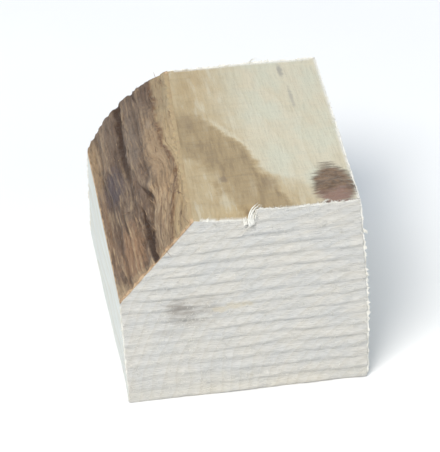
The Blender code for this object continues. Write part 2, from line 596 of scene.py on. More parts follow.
@dataclass(frozen=True)
class EndGrain:
    """The cross-cut ends: near white, fuzzy, with torn fibres that run with the saw ridges."""

    rings: GrowthRings = GrowthRings()
    cool: Colour = (0.626, 0.620, 0.596)
    warm: Colour = (0.664, 0.642, 0.594)
    late: Colour = (0.90, 0.88, 0.84)
    foot: Colour = (0.70, 0.62, 0.44)
    foot_height: float = 7.0
    smudge: Colour = (0.235, 0.205, 0.175)
    fleck: Colour = (0.64, 0.55, 0.38)
    front: float = -30.0
    deep: float = 12.0
    streaky: Place = (0.30, 0.30, 1.9)
    # The smudge's streaks: x and z, half width and half height in mm, turn in degrees, and cover.
    smudges: Marks = (
        (-13.0, 21.8, 5.0, 3.0, 22, 0.60),
        (-13.2, 21.9, 3.0, 1.5, 18, 0.50),
        (-8.8, 22.2, 7.5, 2.6, 14, 0.34),
        (-11.5, 18.9, 7.5, 1.4, 10, 0.30),
        (-15.0, 16.4, 5.5, 1.1, 8, 0.2),
        (-9.0, 24.8, 5.0, 1.1, 12, 0.24),
    )
    # The yellow flecks beside it: x and z in mm, and size.
    flecks: Marks = ((-2.0, 21.6, 1.5), (0.6, 21.9, 1.1), (-5.0, 21.0, 1.1))

    def material(self) -> bpy.types.Material:
        """Makes the finish.

        Returns:
            The finished material.
        """
        sh = Shading("end grain", 0.9, 0.25)
        colour = self.rings.over(sh, self.mottled(sh), 0.7, self.late)
        torn = sh.noise((0.7, 0.7, 3.4), 5.0, 5.0, 0.62)
        colour = sh.darken(colour, sh.step(torn, 0.60, 0.30), 0.88)
        # Painted shade in the saw grooves between the ridges, broken up by the torn-fibre noise.
        colour = sh.darken(colour, sh.times(sh.attribute("groove"), sh.step(torn, 0.2, 0.7)), 0.90)
        colour = self.smudged(sh, colour)
        fine = sh.noise((2.5, 2.5, 4.5), 9.0, 3.0, 0.7)
        return sh.finish(colour, [(torn, 0.30), (fine, 0.12)])

    def mottled(self, sh: Shading) -> Socket:
        """The ground colour, cooler and warmer by patches, and tan by the floor.

        Args:
            sh: the material that it goes into.

        Returns:
            The colour.
        """
        colour = sh.mix(sh.step(sh.noise((0.11, 0.11, 0.16), 2.0, 3.0), 0.38, 0.62), self.cool, self.warm)
        low = sh.times(sh.step(sh.axis("Z"), self.foot_height, 0.0), sh.noise((0.3, 0.3, 0.9), 4.0))
        return sh.lay(colour, self.foot, low, 0.32)

    def smudged(self, sh: Shading, colour: Socket) -> Socket:
        """Adds the grey smudge left of the front end's middle, and the yellow flecks beside it.

        Args:
            sh: the material that they go into.
            colour: the wood's colour.

        Returns:
            The colour with both.
        """
        streak = sh.step(sh.noise((0.26, 0.26, 2.1), 19.0, 4.0, 0.6), 0.36, 0.60)
        thin = sh.plus(streak, 0.68, 0.32)
        for x, z, half_x, half_z, turn, cover in self.smudges:
            place, half = (x, self.front, z), (half_x, self.deep, half_z)
            spot = sh.times(sh.spot(place, half, turn, 1.7, x, self.streaky), thin)
            colour = sh.lay(colour, self.smudge, spot, cover)
        for x, z, size in self.flecks:
            spot = sh.spot((x, self.front, z), (1.9 * size, self.deep, 0.8 * size), 8, 1.2, x)
            colour = sh.lay(colour, self.fleck, spot, 0.42)
        return colour


@dataclass(frozen=True)
class Knot:
    """The dark ingrown knot by the front right corner of the top, with its sizes in mm."""

    centre: Place = (19.3, -21.9, 43.4)
    half: Place = (4.6, 8.7, 5.0)
    grain: Place = (0.16, 1.4, 0.4)
    dark: Colour = (0.106, 0.064, 0.036)
    light: Colour = (0.225, 0.146, 0.088)
    pink: Colour = (0.275, 0.172, 0.140)

    def over(self, sh: Shading, colour: Socket) -> tuple[Socket, Socket]:
        """Lays the knot over a colour.

        Args:
            sh: the material that it goes into.
            colour: the wood's colour.

        Returns:
            The colour with the knot, and where the knot is.
        """
        spikes = sh.noise(self.grain, 6.0, 4.0, 0.65)
        mask = sh.step(sh.plus(spikes, 1.0, sh.away(self.centre, self.half)), 1.54, 1.20)
        light = sh.step(sh.noise((0.45, 0.9, 0.5), 8.0, 5.0, 0.65), 0.36, 0.66)
        inside = sh.mix(light, self.dark, self.light)
        from_front = sh.plus(sh.noise((0.3, 0.5, 0.5), 2.0), 8.0, sh.axis("Y"))
        inside = sh.lay(inside, self.pink, sh.step(from_front, -18.5, -22.0), 0.75)
        return sh.mix(mask, colour, inside), mask


@dataclass(frozen=True)
class StainedTop:
    """The top face: cream wood, stained tan from the bark's side up to a ragged tide line."""

    rings: GrowthRings = GrowthRings()
    knot: Knot = Knot()
    cream: Colour = (0.575, 0.560, 0.445)
    cream_warm: Colour = (0.600, 0.545, 0.415)
    late: Colour = (0.88, 0.84, 0.76)
    golden: Colour = (0.492, 0.392, 0.240)
    orange: Colour = (0.450, 0.338, 0.188)
    tan: Colour = (0.385, 0.287, 0.160)
    tan_dark: Colour = (0.270, 0.196, 0.110)
    glow: Colour = (0.66, 0.61, 0.47)
    pencil: Colour = (0.25, 0.24, 0.225)
    smear: Colour = (0.20, 0.15, 0.11)
    # Near white, for the rim along the arrises: pale torn fibres with a painted highlight on the edge.
    torn: Colour = (0.74, 0.73, 0.69)
    # The tide line, and the line where its golden halo ends, as (y, x) in mm from the back to the front.
    tide: Marks = (
        (30.0, -2.0), (14.0, -3.6), (6.0, -1.6), (0.0, 1.6), (-5.0, 4.6), (-13.0, 5.4), (-16.5, 7.4),
        (-20.0, 8.4), (-24.0, 9.6), (-30.0, 12.0))
    halo: Marks = (
        (30.0, 12.5), (18.0, 11.4), (8.0, 8.6), (0.0, 6.4), (-5.0, 6.4), (-13.0, 7.4), (-16.5, 11.0),
        (-19.0, 15.5), (-22.0, 19.5), (-30.0, 24.0))
    # The thin grey streaks by the back edge and the small brown smears: x and y, half width and half
    # length in mm, and cover.
    pencil_streaks: Marks = ((16.3, 24.8, 0.8, 3.6, 0.6), (16.8, 13.2, 0.55, 5.8, 0.45))
    smears: Marks = (
        (-2.1, -15.3, 1.2, 1.6, 0.5), (6.8, -18.5, 2.4, 3.4, 0.25), (-6.5, 7.5, 2.2, 4.5, 0.18))
    span: float = 30.0
    level: float = 43.0
    deep: float = 30.0
    ragged: float = 3.4

    def material(self) -> bpy.types.Material:
        """Makes the finish.

        Returns:
            The finished material.
        """
        sh = Shading("stained top", 0.85, 0.15)
        fibre = sh.noise((2.2, 0.16, 1.0), 3.0, 5.0, 0.62)
        blotch = sh.noise((0.16, 0.10, 0.16), 7.0, 4.0, 0.6)
        saw = sh.noise((0.10, 0.85, 0.4), 12.0, 3.0, 0.55)
        inside, halo = self.inside(sh, self.tide), self.inside(sh, self.halo)
        reach = sh.math("DIVIDE", halo, sh.math("MAXIMUM", sh.less(halo, inside), 1.2))
        colour = sh.mix(sh.step(blotch, 0.36, 0.64), self.cream, self.cream_warm)
        colour = sh.mix(sh.step(reach, 0.0, 1.1), colour, self.stain(sh, inside))
        colour = self.glowing(sh, colour, inside)
        share = sh.step(inside, -0.5, 1.0)
        colour = sh.darken(colour, sh.plus(share, 0.45, sh.step(fibre, 0.60, 0.30)), 0.90)
        colour = sh.darken(colour, sh.times(share, sh.step(saw, 0.50, 0.34)), 0.93)
        colour = self.rings.over(sh, colour, 0.3, self.late)
        colour = self.marked(sh, colour, self.pencil, self.pencil_streaks, 1.1)
        # The pale rim along the arrises: torn fibres, with a painted highlight on the edge.
        rim = sh.times(sh.attribute("arris"), sh.step(sh.noise((0.8, 0.8, 0.8), 14.0), 0.28, 0.50))
        colour, knot = self.knot.over(sh, sh.lay(colour, self.torn, rim, 0.9))
        grit = sh.noise((1.6, 1.6, 1.6), 4.0, 4.0)
        pitted = sh.times(knot, sh.noise((0.8, 1.3, 1), 5.0))
        return sh.finish(colour, [(saw, 0.20), (fibre, 0.22), (grit, 0.08), (pitted, 0.5)])

    def inside(self, sh: Shading, border: Marks) -> Socket:
        """How far inside a ragged border each place lies, in mm across.

        Args:
            sh: the material that it goes into.
            border: the border as (y, x) in mm from the back to the front.

        Returns:
            The distance, below 0 outside the border.
        """
        frayed = sh.noise((0.9, 0.22, 0.5), 11.0, 4.0, 0.6)
        along = sh.plus(frayed, self.ragged, sh.less(sh.axis("Y"), self.ragged / 2))
        share = sh.add("ShaderNodeMapRange", {0: along, 1: -self.span, 2: self.span}).outputs[0]
        curve = sh.add("ShaderNodeFloatCurve", {"Value": share})
        points = curve.mapping.curves[0].points
        for number, (y, x) in enumerate(reversed(border)):
            place = ((y + self.span) / (2 * self.span), (x + self.span) / (2 * self.span))
            if number < 2:
                points[number].location = place
            else:
                points.new(*place)
        curve.mapping.update()
        line = sh.add("ShaderNodeMapRange", {0: curve.outputs[0], 3: -self.span, 4: self.span}).outputs[0]
        line = sh.plus(sh.noise((0.25, 0.5, 0.4), 5.0, 4.0), self.ragged, sh.less(line, self.ragged / 2))
        return sh.less(line, sh.axis("X"))

    def stain(self, sh: Shading, inside: Socket) -> Socket:
        """The stain: golden, with a darker band inside the tide line, streaked along the grain.

        Args:
            sh: the material that it goes into.
            inside: how far inside the tide line each place lies, in mm.

        Returns:
            The colour.
        """
        streak = sh.noise((0.62, 0.085, 0.5), 13.0, 5.0, 0.62)
        patch = sh.noise((0.30, 0.26, 0.5), 17.0, 4.0, 0.6)
        warm = sh.step(sh.noise((0.40, 0.16, 0.5), 23.0, 4.0, 0.65), 0.46, 0.62)
        band = self.band(sh, inside, patch)
        depth = sh.plus(sh.step(streak, 0.47, 0.64), 0.34, sh.times(band, 0.86))
        depth = sh.plus(sh.step(patch, 0.50, 0.68), 0.26, depth)
        colour = sh.lay(self.golden, self.orange, warm, 0.65)
        colour = sh.mix(sh.step(depth, 0.0, 0.9), colour, self.tan)
        colour = sh.lay(colour, self.tan_dark, sh.step(depth, 0.8, 1.35), 0.8)
        light = sh.times(sh.step(streak, 0.47, 0.34), sh.plus(band, -0.34, 0.5))
        colour = sh.mix(light, colour, self.cream_warm)
        rust = sh.spot((-5.0, 21.5, self.level), (2.4, 4.2, self.deep), 0, 1.2, 3.0, (0.9, 0.3, 0.5))
        colour = sh.lay(colour, self.orange, rust, 0.6)
        return self.marked(sh, colour, self.smear, self.smears, 0.9)

    def band(self, sh: Shading, inside: Socket, patch: Socket) -> Socket:
        """The darker band inside the tide line, which widens towards the back and ends there.

        Args:
            sh: the material that it goes into.
            inside: how far inside the tide line each place lies, in mm.
            patch: the noise that frays the band.

        Returns:
            1 in the band and 0 outside.
        """
        wide = sh.plus(sh.step(sh.axis("Y"), -9.0, -1.0), 14.0, 10.6)
        wide = sh.plus(patch, 9.0, sh.less(wide, 4.5))
        band = sh.times(sh.step(inside, -0.2, 1.4), sh.step(sh.less(inside, wide), 2.4, -3.2))
        return sh.times(band, sh.step(sh.plus(patch, 7.0, sh.axis("Y")), 17.0, 10.5))

    def glowing(self, sh: Shading, colour: Socket, inside: Socket) -> Socket:
        """Adds the light line just outside the middle of the tide line.

        Args:
            sh: the material that it goes into.
            colour: the wood's colour.
            inside: how far inside the tide line each place lies, in mm.

        Returns:
            The colour with the line.
        """
        glow = sh.times(sh.step(inside, -2.2, -0.7), sh.step(inside, 0.3, -0.6))
        glow = sh.times(glow, sh.step(sh.axis("Y"), -12.0, -7.0))
        glow = sh.times(glow, sh.step(sh.axis("Y"), 9.0, 5.0))
        return sh.lay(colour, self.glow, glow, 0.55)

    def marked(self, sh: Shading, colour: Socket, mark: Colour, places: Marks, ragged: float) -> Socket:
        """Adds small marks of one colour.

        Args:
            sh: the material that they go into.
            colour: the wood's colour.
            mark: the marks' colour.
            places: their x and y, half width and half length in mm, and cover.
            ragged: how broken their rims are.

        Returns:
            The colour with the marks.
        """
        for x, y, half_x, half_y, cover in places:
            spot = sh.spot((x, y, self.level), (half_x, half_y, self.deep), 0, ragged, y)
            colour = sh.lay(colour, mark, spot, cover)
        return colour


@dataclass(frozen=True)
class SideGrain:
    """The sides sawn along the grain: smooth, pale and faintly lined."""

    rings: GrowthRings = GrowthRings()
    knot: Knot = Knot(centre=(20.4, -21.9, 43.4), half=(4.6, 7.5, 4.6), grain=(0.4, 0.2, 1.2))
    # The left side's cool, greenish white is painted bluish light that falls on that side.
    pale: Colour = (0.675, 0.715, 0.695)
    cream: Colour = (0.69, 0.64, 0.52)
    late: Colour = (0.86, 0.78, 0.64)

    def material(self) -> bpy.types.Material:
        """Makes the finish.

        Returns:
            The finished material.
        """
        sh = Shading("side grain", 0.82, 0.15)
        fibre = sh.noise((2.0, 0.12, 2.0), 3.0, 5.0, 0.6)
        blotch = sh.noise((0.10, 0.05, 0.10), 7.0, 3.0)
        # The cool tone on the left side is painted bluish light; towards the right the cream wood shows.
        right = sh.step(sh.axis("X"), -20.0, -10.0)
        colour = sh.mix(sh.plus(blotch, 0.25, sh.times(right, 0.8)), self.pale, self.cream)
        colour = self.rings.over(sh, colour, 0.5, self.late)
        colour = sh.darken(colour, sh.step(fibre, 0.60, 0.30), 0.90)
        colour, _ = self.knot.over(sh, colour)
        saw = sh.noise((0.3, 0.22, 0.05), 12.0, 3.0, 0.5)
        return sh.finish(colour, [(saw, 0.30), (fibre, 0.14)])


@dataclass(frozen=True)
class Patch:
    """A patch of colour on the flat bark: its middle and half size in mm, and how much it covers."""

    across: float
    along: float
    half_across: float
    half_along: float
    colour: Colour
    cover: float


@dataclass(frozen=True)
class BarkSkin:
    """The bark's outside: grey-brown and stringy, painted shade in its cracks, tan by the top face."""

    grey: Colour = (0.215, 0.152, 0.108)
    brown: Colour = (0.165, 0.105, 0.069)
    inner: Colour = (0.33, 0.225, 0.138)
    pale: Colour = (0.53, 0.39, 0.245)
    line: Colour = (0.165, 0.085, 0.040)
    # Near black: painted shade in the furrows, the deep crack and under each ledge.
    crack: Colour = (0.072, 0.040, 0.024)
    tan: Colour = (0.475, 0.372, 0.225)
    tan_front: Colour = (0.56, 0.420, 0.240)
    patches: tuple[Patch, ...] = (
        Patch(18.6, 26.0, 6.0, 28.0, (0.43, 0.295, 0.175), 0.9),
        Patch(0.5, 50.0, 4.4, 16.0, (0.42, 0.28, 0.155), 0.9),
        Patch(1.0, 24.0, 2.0, 24.0, (0.30, 0.18, 0.100), 0.6),
        Patch(13.0, 42.0, 4.0, 11.0, (0.225, 0.172, 0.132), 0.8),
        Patch(10.0, 50.0, 3.0, 10.0, (0.175, 0.122, 0.088), 0.6),
        Patch(5.6, 34.0, 4.2, 9.0, (0.110, 0.082, 0.085), 0.95),
        Patch(6.5, 9.0, 5.5, 13.0, (0.355, 0.213, 0.122), 0.9),
        Patch(3.5, 17.0, 2.6, 9.0, (0.200, 0.128, 0.085), 0.75),
        Patch(1.0, 1.0, 3.0, 4.0, (0.400, 0.290, 0.180), 0.8),
        Patch(15.2, 6.5, 1.9, 5.0, (0.235, 0.180, 0.150), 0.8),
        Patch(3.8, 43.0, 0.8, 2.4, (0.42, 0.33, 0.25), 0.6),
        Patch(17.6, 43.5, 0.9, 2.6, (0.44, 0.34, 0.25), 0.5),
        Patch(4.6, 48.0, 3.2, 9.0, (0.34, 0.245, 0.165), 0.6),
        Patch(11.0, 0.0, 16.0, 1.7, (0.44, 0.325, 0.21), 0.65),
    )
    deep: float = 30.0

    def material(self) -> bpy.types.Material:
        """Makes the finish, laid out on the flat bark.

        Returns:
            The finished material.
        """
        sh = Shading("bark", 0.9, 0.1)
        along = sh.attribute("along")
        sh.mm = sh.add("ShaderNodeCombineXYZ", {0: sh.attribute("across"), 1: along, 2: 0.0}).outputs[0]
        strand = sh.noise((2.0, 0.14, 1.0), 2.0, 5.0, 0.65)
        hair = sh.noise((4.5, 0.30, 1.0), 12.0, 3.0, 0.6)
        grit = sh.noise((1.3, 0.7, 1.0), 6.0, 5.0, 0.7)
        blotch = sh.noise((0.30, 0.08, 1.0), 9.0, 4.0, 0.6)
        colour = sh.mix(sh.step(blotch, 0.40, 0.62), self.grey, self.brown)
        for number, patch in enumerate(self.patches):
            half = (patch.half_across, patch.half_along, self.deep)
            spot = sh.spot((patch.across, patch.along, 0), half, ragged=0.9, seed=number + 2.0)
            colour = sh.lay(colour, patch.colour, spot, patch.cover)
        showing = sh.plus(sh.step(along, 36.0, 18.0), 0.38, 0.32)
        colour = sh.mix(sh.times(sh.step(strand, 0.52, 0.68), showing), colour, self.pale)
        colour = sh.darken(colour, sh.step(strand, 0.50, 0.32), 0.58)
        colour = sh.darken(colour, sh.step(grit, 0.48, 0.34), 0.80)
        colour = sh.lay(colour, self.fibres(sh, strand, hair), sh.attribute("shed"), 0.7)
        colour = sh.mix(sh.attribute("cambium"), colour, self.edging(sh, along, hair, blotch))
        # Painted highlight along the lip of each ledge.
        lip = sh.times(sh.attribute("lip"), sh.step(hair, 0.40, 0.60))
        colour = sh.lay(colour, self.pale, lip, 0.7)
        edge = sh.times(sh.attribute("edge"), sh.step(grit, 0.38, 0.55))
        colour = sh.lay(colour, self.line, edge, 0.85)
        # Painted shade in the furrows, the deep crack and at the foot of each ledge.
        broken = sh.step(sh.plus(hair, 0.5, sh.attribute("crack")), 0.35, 0.95)
        colour = sh.mix(broken, colour, self.crack)
        fine = sh.noise((7.0, 1.6, 1.0), 21.0, 3.0, 0.7)
        return sh.finish(colour, [(strand, 0.44), (hair, 0.30), (grit, 0.34), (fine, 0.12)])

    def fibres(self, sh: Shading, strand: Socket, hair: Socket) -> Socket:
        """The stringy inner bark that shows where the outer bark has come off."""
        colour = sh.mix(sh.step(strand, 0.42, 0.60), self.inner, self.pale)
        return sh.mix(sh.step(hair, 0.46, 0.30), colour, self.line)

    def edging(self, sh: Shading, along: Socket, hair: Socket, blotch: Socket) -> Socket:
        """The tan strip between the bark and the top face.

        Args:
            sh: the material that it goes into.
            along: how far along the bark each place lies, in mm.
            hair: the noise of the finest strings.
            blotch: the noise of the large patches.

        Returns:
            The colour.
        """
        tan = sh.mix(sh.step(along, 48.0, 36.0), self.tan, self.tan_front)
        colour = sh.lay(tan, self.inner, sh.step(blotch, 0.40, 0.65), 0.5)
        return sh.darken(colour, sh.step(hair, 0.50, 0.32), 0.80)


@dataclass(frozen=True)
class BarkSection:
    """The bark's narrow edge: a thin tan band where the saw cut it, and stained along the top face."""

    tan: Colour = (0.58, 0.415, 0.265)
    brown: Colour = (0.37, 0.245, 0.150)
    stained: Colour = (0.42, 0.325, 0.195)
    # How far from the middle the sawn ends begin, and how far across the foot ends, in mm.
    ends: tuple[float, float] = (27.5, 28.3)
    foot: tuple[float, float] = (1.0, 0.3)

    def material(self) -> bpy.types.Material:
        """Makes the finish.

        Returns:
            The finished material.
        """
        sh = Shading("bark section", 0.9)
        layers = sh.noise((1.4, 0.5, 1.4), 5.0, 4.0, 0.6)
        layered = sh.step(layers, 0.45, 0.65)
        at_end = sh.step(sh.math("ABSOLUTE", sh.axis("Y")), *self.ends)
        sawn = sh.math("MAXIMUM", at_end, sh.step(sh.attribute("across"), *self.foot))
        colour = sh.mix(sh.step(sh.attribute("depth"), 0.62, 0.95), self.tan, self.brown)
        colour = sh.mix(layered, colour, self.brown)
        stained = sh.lay(self.stained, self.brown, layered, 0.4)
        return sh.finish(sh.mix(sawn, stained, colour), [(layers, 0.25)])


@dataclass(frozen=True)
class Fibre:
    """Loose fibres and splinters, in two near colours."""

    name: str
    light: Colour
    dark: Colour
    sheen: float = 0.2

    def material(self) -> bpy.types.Material:
        """Makes the finish.

        Returns:
            The finished material.
        """
        sh = Shading(self.name, 0.9, self.sheen)
        share = sh.step(sh.noise((0.8, 0.5, 0.8), 3.0, 3.0), 0.35, 0.65)
        return sh.finish(sh.mix(share, self.dark, self.light), [(sh.noise((5, 1, 5), 2.0, 2.0), 0.05)])


@dataclass
class SawnBlock:
    """The sawn wood: one closed mesh with saw ridges on its ends and softened arrises."""

    form: ChunkForm = BARE_WOOD
    columns: int = 112
    layers: int = 100
    ridges: int = 16
    # One ridge from its groove up, at even steps.
    profile: tuple[float, ...] = (0.0, 0.52, 0.88, 1.0, 0.86, 0.68, 0.50, 0.32, 0.14)
    ridge_height: float = 0.45 * MM
    ridge_wander: float = 0.35 * MM
    lip_tear: float = 0.10 * MM
    lip_limits: tuple[float, float] = (0.08, 1.3)
    arris_radius: float = 0.22 * MM
    arris_wear: float = 0.45 * MM
    arris_steps: tuple[float, ...] = (0.12, 0.28, 0.50, 0.80)
    wave: float = 0.25 * MM
    wave_length: float = 14 * MM
    chip_end: float = 0.35
    chip_depth: float = 1.6 * MM
    chip_reach: float = 4 * MM
    burr_height: float = 0.6 * MM
    burr_foot: float = 0.25 * MM
    burr_length: float = 0.1
    burr_reach: float = 1 * MM
    knot: Place = (19.5 * MM, -22.8 * MM, 4.6 * MM)
    knot_rise: float = 0.5 * MM
    rim: float = 0.14

    def shares(self, even: Array, size: float) -> Array:
        """Even steps with a few finer ones by both ends, for the arrises.

        Args:
            even: evenly spaced shares from 0 to 1.
            size: the block's size along that axis.

        Returns:
            All the shares in order.
        """
        fine = np.array(self.arris_steps) * MM / size
        clear = fine[-1] * 1.2
        kept = even[(even <= 0) | (even >= 1) | ((even > clear) & (even < 1 - clear))]
        return np.unique(np.concatenate([kept, fine, 1 - fine]))

    def rounded(self, shares: Array) -> tuple[Array, Array]:
        """Rounds the block's arrises by an uneven radius.

        Args:
            shares: the shell's points as shares (u, v, w).

        Returns:
            The shares with round arrises, and how close each is to an arris from 0 to 1.
        """
        size = np.array((self.form.width, self.form.length, self.form.height))
        place = shares * size
        wear = np.clip(0.35 + 0.9 * sampled(place, 5 * MM, 21.0, rough), 0, 1) ** 2
        radius = (self.arris_radius + self.arris_wear * wear)[:, None]
        core = np.clip(place, radius, size - radius)
        out = place - core
        far = np.linalg.norm(out, axis=1)[:, None]
        gap = np.sort(np.minimum(place, size - place), axis=1)[:, 1]
        by_bark = (shares[:, 0] < 0.04) & (shares[:, 2] > self.form.wane_start - 0.03)
        arris = np.where(by_bark, 0.0, 1 - smoothstep(0.2 * MM, 1.1 * MM, gap))
        arris *= smoothstep(0.5 * MM, 1.6 * MM, place[:, 2])
        return (core + out / np.maximum(far, 1e-9) * radius) / size, arris

    def lips(self, shares: Array, points: Array) -> tuple[Array, Array]:
        """The saw ridges on an end.

        Args:
            shares: the end's points as shares (u, v, w).
            points: the same points in metres.

        Returns:
            How far each point stands out, and how deep in a groove it lies from 0 to 1.
        """
        count = len(self.profile)
        turn = (shares[:, 2] * self.ridges * count) % count
        lip = np.interp(turn, range(count + 1), (*self.profile, self.profile[0]))
        swell = 0.70 + 0.35 * sampled(points, 9 * MM, 1.0)
        swell += 0.85 * sampled(points, (8 * MM, 1.0, 1.5 * MM), 33.0)
        swell += 0.6 * sampled(points, (2.4 * MM, 1.0, 1.4 * MM), 35.0)
        left_low = (1 - smoothstep(0.1, 0.6, shares[:, 0])) * (1 - smoothstep(0.2, 0.6, shares[:, 2]))
        quiet = (1 - 0.5 * left_low) * (1 - 0.6 * smoothstep(0.93, 0.96, shares[:, 2]))
        swell = np.clip(swell, *self.lip_limits)
        torn = sampled(points, (0.9 * MM, 1.0, 2.2 * MM), 31.0, rough)
        height = self.ridge_height * lip * swell * quiet * (1 - 0.35 * np.clip(torn, 0, 1))
        return height + self.lip_tear * torn * (0.4 + lip), (1 - lip) ** 3 * quiet

    def top_relief(self, shares: Array, points: Array) -> Array:
        """The chip, the burr, the knot and the slow waves of the top face.

        Args:
            shares: points as shares (u, v, w).
            points: the same points in metres.

        Returns:
            The height at each point, in metres.
        """
        u, from_front = shares[:, 0], shares[:, 1] * self.form.length
        past_chip = smoothstep(self.chip_end - 0.005, self.chip_end + 0.025, u)
        chip = np.clip(u / self.chip_end, 0, 1) * (1 - past_chip) * self.chip_depth
        chip *= 1 - smoothstep(0, self.chip_reach, from_front)
        ragged = 1 + 0.5 * sampled(points, 0.9 * MM, 41.0, rough)
        burr = self.burr_height * ragged * np.exp(-(((u - self.chip_end) / self.burr_length - 0.5) ** 2))
        burr += self.burr_foot * ragged
        burr *= past_chip * (1 - smoothstep(0, self.burr_reach, from_front))
        knot_x, knot_y, knot_radius = self.knot
        off_knot = np.hypot(points[:, 0] - knot_x, points[:, 1] - knot_y)
        knot = self.knot_rise * (1 - smoothstep(0.4 * knot_radius, knot_radius, off_knot))
        knot *= 1 + 0.5 * sampled(points, 0.8 * MM, 43.0, rough)
        slow = self.wave * sampled(points, self.wave_length, 4.0)
        return (slow + knot + burr - chip) * smoothstep(0.0, 0.04, u)

    def add_relief(self, points: Array, shares: Array, at: dict[Side, Array]) -> None:
        """Moves the points by the waves of the sides, the ridges' wander and the top's relief.

        Args:
            points: the shell's points, which are changed in place.
            shares: the same points as shares (u, v, w).
            at: for each side, which points lie on it.
        """
        right = self.wave * sampled(points, self.wave_length, 2.0)
        left = self.wave * sampled(points, self.wave_length, 3.0)
        points[:, 0] += np.where(at[Side.RIGHT], right, 0.0)
        points[:, 0] += np.where(at[Side.LEFT] & (shares[:, 2] <= self.form.wane_start), left, 0.0)
        wander = sampled(points, 12 * MM, 6.0) + 0.45 * sampled(points, 3.5 * MM, 9.0)
        wander *= self.ridge_wander
        wander *= smoothstep(0, 0.02, shares[:, 2]) * smoothstep(1, 0.98, shares[:, 2])
        top = self.top_relief(shares, points) * np.clip((shares[:, 2] - 1 + self.rim) / self.rim, 0, 1)
        points[:, 2] += wander + top

    def build(self, materials: list[bpy.types.Material]) -> bpy.types.Object:
        """Makes the piece.

        Args:
            materials: the ends', the top's and the sides' materials.

        Returns:
            The sawn wood, with its groove, arris and fuzz attributes.
        """
        form = self.form
        rows = self.ridges * len(self.profile)
        axes = [self.shares(np.linspace(0, 1, count + 1), size) for count, size in (
            (self.columns, form.width), (self.layers, form.length), (rows, form.height))]
        steps, quads, sides = lattice_shell(tuple(len(axis) - 1 for axis in axes))
        shares = np.stack([axis[steps[:, number]] for number, axis in enumerate(axes)], 1)
        round_shares, arris = self.rounded(shares)
        points = form.point(*round_shares.T)
        at = {}
        for side in Side:
            axis, end = side.value
            at[side] = steps[:, axis] == end % len(axes[axis])
        self.add_relief(points, shares, at)
        lip, groove = self.lips(shares, points)
        ends = at[Side.FRONT] | at[Side.BACK]
        points[:, 1] += np.where(ends, np.where(at[Side.BACK], lip, -lip), 0.0)
        piece = new_piece("sawn_wood", form.centred(points), quads)
        for material in materials:
            piece.data.materials.append(material)
        slots = np.array([SIDE_MATERIALS[side] for side in Side])[sides]
        piece.data.polygons.foreach_set("material_index", slots.astype(np.int32))
        # Where the saw grooves lie on the ends: the end grain paints shade there and grows less fuzz.
        add_attribute(piece, "groove", np.where(ends, groove, 0.0))
        add_attribute(piece, "arris", arris)
        patchy = smoothstep(-0.25, 0.45, sampled(points, 3 * MM, 51.0))
        patchy *= smoothstep(0.4 * MM, 1.4 * MM, points[:, 2])
        add_attribute(piece, "fuzz", np.where(ends, (1 - groove) * patchy, 0.0))
        return piece


@dataclass(frozen=True)
class Furrow:
    """A long furrow in the bark.

    Its middle is given as a share across at both ends, its depth in mm at both ends, and half its
    width as a share.
    """

    back: float
    front: float
    back_depth: float
    front_depth: float
    half_width: float


@dataclass(frozen=True)
class Fissure:
    """The deep crack by the front: its shares across and along, depth in mm and half width as a share."""

    middle: float = 0.525
    end: float = 0.37
    depth: float = 1.2
    half_width: float = 0.030


